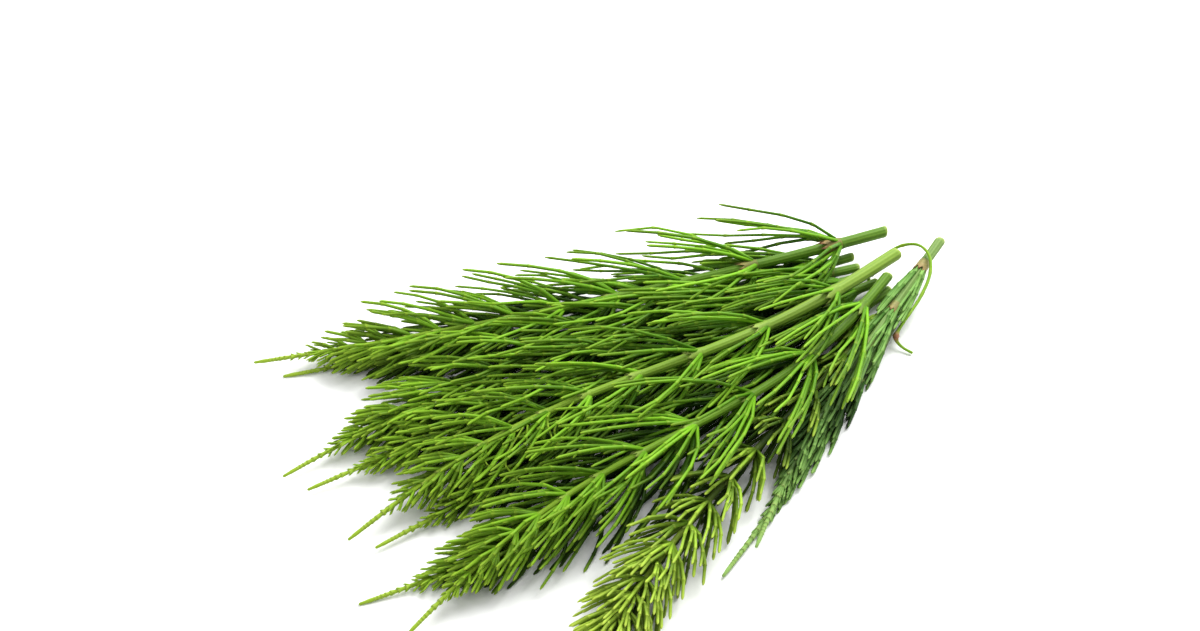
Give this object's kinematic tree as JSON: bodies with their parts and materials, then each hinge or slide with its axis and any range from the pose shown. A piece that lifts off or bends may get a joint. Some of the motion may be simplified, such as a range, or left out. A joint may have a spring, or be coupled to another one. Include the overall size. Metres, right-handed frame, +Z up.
{
  "type": "bunch of cut field horsetail",
  "caption": "Lying bunch of cut horsetail shoots, hollow jointed stems with whorls of thin green branches, gathered at the cut ends by a thin branch.",
  "frame": {"origin": "centre of the bunch's bounding box, on the surface it lies on", "axes": "+X along the bunch towards the cut ends, +Z up from the surface, +Y across it"},
  "size_m": [0.2318, 0.1698, 0.0297],
  "materials": {
    "horsetail_green": "fresh green plant stem, waxy and finely ribbed",
    "binding_green": "fresh green plant branch, a little duller"
  },
  "bodies": {
    "root": {"shoot_back_top": "horsetail_green", "shoot_back_low": "horsetail_green", "shoot_left_upper": "horsetail_green", "shoot_left_lower": "horsetail_green", "shoot_crown": "horsetail_green", "shoot_middle_low": "horsetail_green", "shoot_front_low": "horsetail_green", "shoot_front_top": "horsetail_green", "shoot_brush": "horsetail_green", "shoot_right_top": "horsetail_green", "shoot_right_low": "horsetail_green", "binding_branch": "binding_green"}
  },
  "joints": []
}
